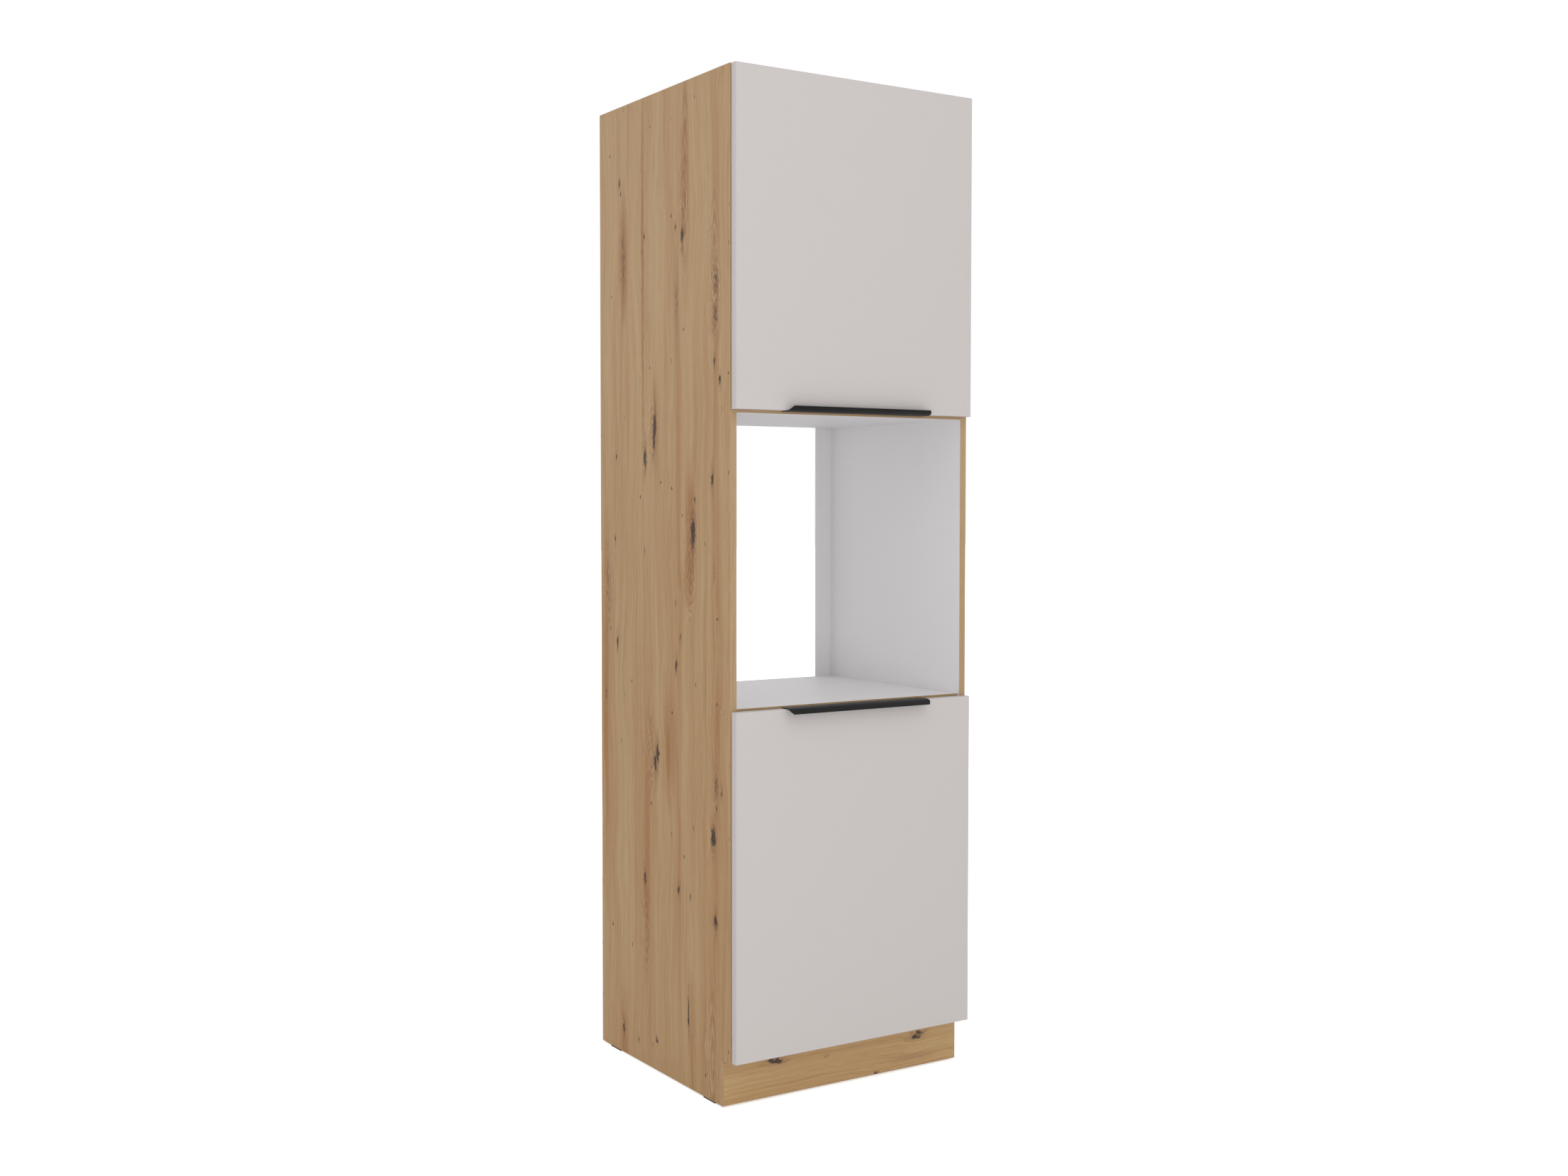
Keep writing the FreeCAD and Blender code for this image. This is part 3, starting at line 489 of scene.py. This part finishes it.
# The material of each slot in the record
materials = {
    # Particle board under a pressed oak print: satin knotty oak outside, plain white inside
    "oak_white_board": side_board_material(),
    # Particle board under white melamine: clean, faintly pearled white
    "white_board": faced_board_material("White_Melamine_Board", white_melamine, Z, roughness=0.5),
    # Printed edge band: straight-grained oak lines down the front edges
    "oak_band": oak_decor_material("Oak_Print_Edge_Band", X, Z, (), seed=7.0, codes=band_oak,
                                   wobble_mm=1.0),
    # Extruded white edge band: an even white line, a little softer than the boards
    "white_band": grained_plastic_material("White_Edge_Band", white_melamine, roughness=0.5),
    # The oak print laid level, and more yellow: bold grain and a few dark knots
    "oak_plinth": oak_decor_material("Oak_Print_Melamine_Level_Grain", Z, X, plinth_knots,
                                     seed=13.0, codes=plinth_oak, wobble_mm=2.2, contrast=1.6),
    # Pressed wood fibre, painted on one side: white in the niche, bare brown at the back
    "white_sheet": hardboard_material(),
    # Particle board under matt melamine: a calm warm grey that hardly shines
    "upper_door_board": faced_board_material("Warm_Grey_Melamine_Board_Upper", door_grey, Y,
                                             roughness=0.58),
    "lower_door_board": faced_board_material("Warm_Grey_Melamine_Board_Lower", door_grey, Y,
                                             roughness=0.58),
    # Extruded edge band: a slightly darker line that draws the doors' outline
    "door_band": grained_plastic_material("Warm_Grey_Edge_Band", "#c8c1c0", roughness=0.5),
    # Sprayed and baked powder: deep matt black with a dull streak of light along the curl
    "black_handle": powder_coat_material(),
    # Zinc plating on turned screws: bright grey heads with dark crosses
    "zinc_screw": plated_steel_material("Zinc_Plated_Steel", "#b9b8b2", roughness=0.32, axis=Z),
    # Thin moulded polyethylene: waxy beige discs that nearly vanish in the oak
    "cap_plastic": grained_plastic_material("Beige_Polyethylene_Cap", "#ab8b63", roughness=0.45),
    # Nickel plating on turned pins: smooth metal with sharp reflections
    "pin_steel": plated_steel_material("Nickel_Plated_Pin_Steel", "#bdbcb8", roughness=0.28,
                                       axis=Z),
    # Nickel plating on pressed sheet: soft reflections and faint rolling marks
    "hinge_metal": plated_steel_material("Nickel_Plated_Pressed_Steel", "#bdbcb7", roughness=0.3,
                                         axis=Y),
    # Moulded polystyrene: plain white with a slight gloss
    "white_plastic": grained_plastic_material("White_Moulded_Polystyrene", "#e6e6e4",
                                              roughness=0.45),
    # Moulded polyethylene: a dull black line between the cabinet and the floor
    "glide_plastic": grained_plastic_material("Black_Moulded_Polyethylene", "#0c0c0c",
                                              roughness=0.5),
    # Cast soft plastic: small shiny pale pads
    "bumper_rubber": grained_plastic_material("Clear_Soft_Bumper", "#c9c7c2", roughness=0.3),
}
# The oak edge band on the level panels, where its grain runs from side to side
level_band = oak_decor_material("Oak_Print_Edge_Band_Level_Grain", Z, X, (), seed=19.0,
                                codes=band_oak, wobble_mm=1.0)

slot_of = {row["node"]: row["material_slot"] for row in frame["record"]["subparts"]}
for node_name, cad_object in frame["nodes"].items():
    finish = materials[slot_of[node_name]]
    if slot_of[node_name] == "oak_band" and not node_name.startswith(("side", "plinth")):
        finish = level_band
    cad_object.data.materials.clear()
    cad_object.data.materials.append(finish)


# Tools for the new pieces

smooth_angle = math.radians(30)     # flatter edges than this are shaded smooth
round_steps = 3                     # faces across a small rounded edge
touch = 0.01 * MM                   # nearer than this is at the same place
screw_spread = 20 * MM              # more than a screw's length, less than the way to the next one


def deselect_all():
    """Nothing is selected and nothing is active."""
    for thing in bpy.context.selected_objects:
        thing.select_set(False)
    bpy.context.view_layer.objects.active = None


def select_only(piece):
    """This piece alone is selected, and it is active."""
    deselect_all()
    piece.select_set(True)
    bpy.context.view_layer.objects.active = piece


def apply_place():
    """What is selected keeps its shape and place, and its object goes to the origin."""
    bpy.ops.object.transform_apply(location=True, rotation=True, scale=True)


def select_vertices(piece, test):
    """In edit mode, select the vertices whose place passes a test."""
    bpy.ops.object.mode_set(mode="OBJECT")
    for vertex in piece.data.vertices:
        vertex.select = test(vertex.co)
    for part in (*piece.data.edges, *piece.data.polygons):
        part.select = all(piece.data.vertices[i].select for i in part.vertices)
    bpy.ops.object.mode_set(mode="EDIT")


def select_edges(piece, test):
    """In edit mode, select the edges whose two ends pass a test together."""
    bpy.ops.object.mode_set(mode="OBJECT")
    for part in (*piece.data.vertices, *piece.data.edges, *piece.data.polygons):
        part.select = False
    for edge in piece.data.edges:
        ends = [piece.data.vertices[i] for i in edge.vertices]
        if test(*(end.co for end in ends)):
            for part in (edge, *ends):
                part.select = True
    bpy.ops.object.mode_set(mode="EDIT")


def apply_modifier(piece, kind, **settings):
    """Add a modifier with its settings and apply it."""
    modifier = piece.modifiers.new(kind.title(), kind)
    for name, value in settings.items():
        setattr(modifier, name, value)
    bpy.ops.object.modifier_apply(modifier=modifier.name)


def cut_with(piece, tool, operation="DIFFERENCE"):
    """Cut a piece with another one, which is used up."""
    select_only(piece)
    apply_modifier(piece, "BOOLEAN", operation=operation, solver="EXACT", object=tool)
    bpy.data.objects.remove(tool)


def copy_of(piece):
    """A copy of a piece with a mesh of its own."""
    copy = piece.copy()
    copy.data = piece.data.copy()
    bpy.context.collection.objects.link(copy)
    return copy


def join_all(pieces):
    """Join pieces into the first of them."""
    deselect_all()
    for piece in pieces:
        piece.select_set(True)
    bpy.context.view_layer.objects.active = pieces[0]
    bpy.ops.object.join()
    return pieces[0]


def finish_piece(piece, name, body, slot, node):
    """Put a finished piece at the origin, name it, give it its finish and its body, and hide the node
    it stands for.
    """
    apply_place()
    piece.name = name
    piece.data.materials.clear()
    piece.data.materials.append(materials[slot])
    bpy.ops.object.shade_smooth_by_angle(angle=smooth_angle)
    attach(piece, body)
    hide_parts(node)
    deselect_all()


def solid_boxes(node):
    """The boxes of the separate small solids of a CAD object."""
    boxes = []
    placed = frame["nodes"][node]
    for vertex in placed.data.vertices:
        place = placed.matrix_world @ vertex.co
        near = [box for box in boxes if (place - (box[0] + box[1]) / 2).length < screw_spread]
        if near:
            low, high = near[0]
            for i in range(3):
                low[i] = min(low[i], place[i])
                high[i] = max(high[i], place[i])
        else:
            boxes.append((place.copy(), place.copy()))
    return boxes


# The handles: a strip bent over the door's edge and curled in front of it

handle_sheet = 1.8 * MM
handle_flange = 1.2 * MM            # the flange is thinner than the rest
handle_flat_reach = 4 * MM          # of the plate past the door's front, up to the curl
handle_curl_radius = 25 * MM
handle_curl_turn = math.radians(53)
handle_corner = 11 * MM             # radius of the lip's front corners
handle_plan_height = 200 * MM       # of the block that trims these corners
handle_edge_round = 0.45 * MM
handle_edge_angle = math.radians(40)    # sharper edges than this are rounded
curl_steps = 20
corner_steps = 10
sink_radii = (1.5 * MM, 3.2 * MM)   # of the countersinks for the screws, at the door and outside
sink_sides = 32
overrun = 0.1 * MM                  # of a cutting tool past what it cuts


def make_handle(door, away):
    """One handle: away is 1 where it goes over a top edge and -1 under a bottom edge."""
    low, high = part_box(door + "_handle")
    width = 2 * high.x
    door_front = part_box(door + "_door_panel")[0].y
    if away > 0:
        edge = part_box(door + "_door_top_band")[1].z
    else:
        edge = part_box(door + "_door_bottom_band")[0].z
    middle_radius = handle_curl_radius - handle_sheet / 2
    plate_level = edge + away * handle_sheet / 2
    curl_start = door_front - handle_flat_reach
    flange_middle = high.y - handle_flange / 2
    flange_end = low.z if away > 0 else high.z
    # A flat plate is spun at its front edge into the curl, and extruded at its back into the flange
    deselect_all()
    bpy.ops.mesh.primitive_plane_add(size=1)
    piece = bpy.context.object
    piece.scale = (width, flange_middle - curl_start, 1)
    piece.location = (0, (flange_middle + curl_start) / 2, plate_level)
    apply_place()
    bpy.ops.object.mode_set(mode="EDIT")
    bpy.ops.mesh.select_mode(type="VERT")
    select_vertices(piece, lambda co: co.y < curl_start + MM)
    bpy.ops.mesh.spin(steps=curl_steps, angle=away * handle_curl_turn, dupli=False,
                      center=(0, curl_start, plate_level - away * middle_radius), axis=(-1, 0, 0))
    select_vertices(piece, lambda co: co.y > flange_middle - MM)
    bpy.ops.mesh.extrude_region_move(
        TRANSFORM_OT_translate={"value": (0, 0, flange_end - plate_level)})
    bpy.ops.mesh.select_all(action="SELECT")
    bpy.ops.mesh.normals_make_consistent(inside=False)
    bpy.ops.object.mode_set(mode="OBJECT")
    apply_modifier(piece, "SOLIDIFY", thickness=handle_sheet, offset=0.0, use_even_offset=True)
    # The flange's back face moves to where the thinner flange ends
    select_vertices(piece, lambda co: co.y > flange_middle)
    bpy.ops.transform.resize(value=(1, 0, 1), center_override=(0, high.y, 0))
    bpy.ops.object.mode_set(mode="OBJECT")
    # A block with two rounded upright front edges trims the corners; it is flush with the handle in
    # front and at both ends
    bpy.ops.mesh.primitive_cube_add(size=1)
    plan = bpy.context.object
    depth = high.y - low.y + 2 * handle_sheet
    plan.scale = (width, depth, handle_plan_height)
    plan.location = (0, low.y + depth / 2, edge)
    apply_place()
    bpy.ops.object.mode_set(mode="EDIT")
    bpy.ops.mesh.select_mode(type="EDGE")
    select_edges(plan, lambda a, b: max(a.y, b.y) < low.y + MM and abs(a.z - b.z) > MM)
    bpy.ops.mesh.bevel(offset=handle_corner, segments=corner_steps, affect="EDGES")
    bpy.ops.object.mode_set(mode="OBJECT")
    cut_with(piece, plan, "INTERSECT")
    apply_modifier(piece, "BEVEL", width=handle_edge_round, segments=round_steps,
                   limit_method="ANGLE", angle_limit=handle_edge_angle)
    # Countersinks take the screws in the flange
    for screw_low, screw_high in solid_boxes(door + "_handle_screws"):
        middle = (screw_low + screw_high) / 2
        bpy.ops.mesh.primitive_cone_add(
            vertices=sink_sides, radius1=sink_radii[0], radius2=sink_radii[1],
            depth=handle_flange + 2 * overrun, rotation=(-math.pi / 2, 0, 0),
            location=(middle.x, flange_middle, middle.z))
        cut_with(piece, bpy.context.object)
    finish_piece(piece, door + "_curled_handle", door + "_door", "black_handle", door + "_handle")


make_handle("lower", 1)
make_handle("upper", -1)

# The caps over the screws of the side panels

cap_radius = 5.5 * MM
cap_height = 0.8 * MM
cap_rim = 1.1 * MM
cap_round = 0.45 * MM
cap_dish = 0.15 * MM
cap_sides = 40
cap_rows = (33 * MM, 452 * MM)      # behind the front plane
capped_panels = ("bottom_panel", "niche_floor_panel", "niche_ceiling_panel", "top_panel")


def make_screw_caps():
    """A flat cap with a rounded rim and a shallow dished middle, copied over every screw."""
    deselect_all()
    bpy.ops.mesh.primitive_cylinder_add(vertices=cap_sides, radius=cap_radius, depth=cap_height)
    first = bpy.context.object
    bpy.ops.object.mode_set(mode="EDIT")
    bpy.ops.mesh.select_mode(type="FACE")
    select_vertices(first, lambda co: co.z > 0)
    bpy.ops.mesh.bevel(offset=cap_round, segments=round_steps, affect="EDGES")
    select_vertices(first, lambda co: co.z > cap_height / 2 - touch)
    bpy.ops.mesh.inset(thickness=cap_rim, depth=-cap_dish)
    bpy.ops.object.mode_set(mode="OBJECT")
    spots = [(sign, row, sum(corner.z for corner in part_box(panel)) / 2)
             for sign in (-1, 1) for panel in capped_panels for row in cap_rows]
    caps = [first] + [copy_of(first) for _ in spots[1:]]
    for cap, (sign, row, level) in zip(caps, spots):
        cap.rotation_euler = (0, sign * math.pi / 2, 0)
        cap.location = (sign * (side_outer + cap_height / 2), front_plane + row, level)
    finish_piece(join_all(caps), "screw_caps", "carcass", "cap_plastic", "screw_cover_caps")


make_screw_caps()

# The hinge and handle screws: node, body, way the head faces, then in mm the head's radius and
# length, the shank's radius and the head's radius at its seat: the shank's where it is countersunk
screw_kinds = (
    ("hinge_plate_screws", "carcass", (-1, 0, 0), 3.6, 1.8, 2.5, 3.6),
    ("hinge_arm_screws", "carcass", (-1, 0, 0), 3.4, 1.5, 2.0, 3.4),
    ("upper_cup_screws", "upper_door", (0, 1, 0), 3.4, 1.4, 1.75, 3.4),
    ("lower_cup_screws", "lower_door", (0, 1, 0), 3.4, 1.4, 1.75, 3.4),
    ("upper_handle_screws", "upper_door", (0, 1, 0), 3.0, 1.2, 1.5, 1.5),
    ("lower_handle_screws", "lower_door", (0, 1, 0), 3.0, 1.2, 1.5, 1.5),
)
screw_sides = 32
screw_turn = 0.7                # from one screw's cross to the next one's, in radians
dome_round = 0.55               # of a domed head's edge, as a share of the head's length
dome_steps = 4
cross_reach = 0.6               # of the cross and its arms, as shares of the head's radius
cross_half_width = 0.17
cross_taper = (0.45, 0.6, 1)    # what is left of an arm's length and width at its bottom


def cross_screw(head_radius, head_length, shank_radius, seat_radius, length):
    """A screw that points down, its seat at the origin: domed or countersunk, with a cross."""
    deselect_all()
    bpy.ops.mesh.primitive_cone_add(vertices=screw_sides, radius1=seat_radius, radius2=head_radius,
                                    depth=head_length, location=(0, 0, head_length / 2))
    screw = bpy.context.object
    apply_place()
    bpy.ops.object.mode_set(mode="EDIT")
    bpy.ops.mesh.select_mode(type="FACE")
    if seat_radius == head_radius:
        select_vertices(screw, lambda co: co.z > head_length / 2)
        bpy.ops.mesh.bevel(offset=dome_round * head_length, segments=dome_steps, affect="EDGES")
    select_vertices(screw, lambda co: co.z < touch)
    if seat_radius > shank_radius:
        bpy.ops.mesh.inset(thickness=seat_radius - shank_radius)
    bpy.ops.mesh.extrude_region_move(
        TRANSFORM_OT_translate={"value": (0, 0, head_length - length)})
    bpy.ops.object.mode_set(mode="OBJECT")
    for turn in (0, math.pi / 2):
        bpy.ops.mesh.primitive_cube_add(size=2)
        arm = bpy.context.object
        bpy.ops.object.mode_set(mode="EDIT")
        select_vertices(arm, lambda co: co.z < 0)
        bpy.ops.transform.resize(value=cross_taper, center_override=(0, 0, 0))
        bpy.ops.object.mode_set(mode="OBJECT")
        arm.scale = (cross_reach * head_radius, cross_half_width * head_radius, head_length)
        arm.rotation_euler = (0, 0, turn)
        arm.location = (0, 0, head_length)
        apply_place()
        cut_with(screw, arm)
    return screw


def make_screws(node, body, outward, *sizes_mm):
    """One node's screws: modelled once, and copied with the cross turned further each time."""
    head_radius, head_length, shank_radius, seat_radius = [size * MM for size in sizes_mm]
    facing_out = Vector(outward)
    boxes = solid_boxes(node)
    length = abs((boxes[0][1] - boxes[0][0]).dot(facing_out))
    first = cross_screw(head_radius, head_length, shank_radius, seat_radius, length)
    screws = [first] + [copy_of(first) for _ in boxes[1:]]
    tilt = facing_out.to_track_quat("Z", "X")
    for number, (screw, (low, high)) in enumerate(zip(screws, boxes)):
        screw.rotation_euler = (tilt @ Quaternion((0, 0, 1), number * screw_turn)).to_euler()
        screw.location = (low + high) / 2 + facing_out * (length / 2 - head_length)
    finish_piece(join_all(screws), node.replace("_screws", "_cross_screws"), body, "zinc_screw",
                 node)


for kind in screw_kinds:
    make_screws(*kind)


# Floor, light and camera

def make_floor():
    """A pale floor that keeps the cabinet's shadow and fades into the white background."""
    deselect_all()
    bpy.ops.mesh.primitive_plane_add(size=floor_size)
    floor = bpy.context.object
    floor.name = "floor"
    # Painted studio floor: matt near-white, brighter for the camera the further out it is
    made, tree, shader = new_material("Pale_Studio_Floor", Base_Color=linear("#fafafa"),
                                      Roughness=0.9, Specular_IOR_Level=0.0)
    seen = add_node(tree, "LightPath")
    where = add_node(tree, "TexCoord")
    spread = add_node(tree, "VectorMath", (where.outputs["Object"],), operation="LENGTH")
    lift = add_node(tree, "MapRange", (spread.outputs["Value"], floor_lift_start, floor_lift_end,
                                       floor_lift, 1.0), interpolation_type="SMOOTHSTEP")
    glow = add_node(tree, "Math", (seen.outputs["Is Camera Ray"], lift), operation="MULTIPLY")
    feed(shader, {"Emission Color": (1, 1, 1, 1), "Emission Strength": glow})
    floor.data.materials.append(made)
    deselect_all()


def make_light():
    """A white world and four large soft lamps."""
    world = bpy.data.worlds.new("Studio")
    bpy.context.scene.world = world
    world.use_nodes = True
    tree = world.node_tree
    seen = add_node(tree, "LightPath").outputs
    clear = add_node(tree, "Math", (seen["Is Glossy Ray"], seen["Is Transmission Ray"]),
                     operation="MAXIMUM")
    clear = add_node(tree, "Math", (seen["Is Camera Ray"], clear), operation="MAXIMUM")
    strength = add_node(tree, "Mix", {0: clear, 2: world_strength, 3: 1.0}, data_type="FLOAT")
    feed(tree.nodes["Background"], {"Color": (1, 1, 1, 1), "Strength": strength})
    for name, place, target, size, power in lamps:
        lamp = bpy.data.lights.new(name, "AREA")
        lamp.shape = "DISK"
        lamp.size = size
        lamp.energy = power
        holder = bpy.data.objects.new(name, lamp)
        holder.location = place
        aim = Vector(target) - Vector(place)
        holder.rotation_euler = aim.to_track_quat("-Z", "Y").to_euler()
        bpy.context.collection.objects.link(holder)


def make_camera():
    """The camera at the photograph's place and angle."""
    camera = bpy.data.cameras.new("Camera")
    camera.sensor_width = sensor_width_mm
    camera.lens = camera_lens_mm
    camera.shift_x, camera.shift_y = camera_shift
    camera.clip_end = camera_reach
    holder = bpy.data.objects.new("Camera", camera)
    holder.location = camera_place
    holder.rotation_euler = (math.pi / 2 - camera_drop, 0, -camera_turn)
    bpy.context.collection.objects.link(holder)
    bpy.context.scene.camera = holder


make_floor()
make_light()
make_camera()

bpy.context.scene.view_settings.view_transform = "Standard"
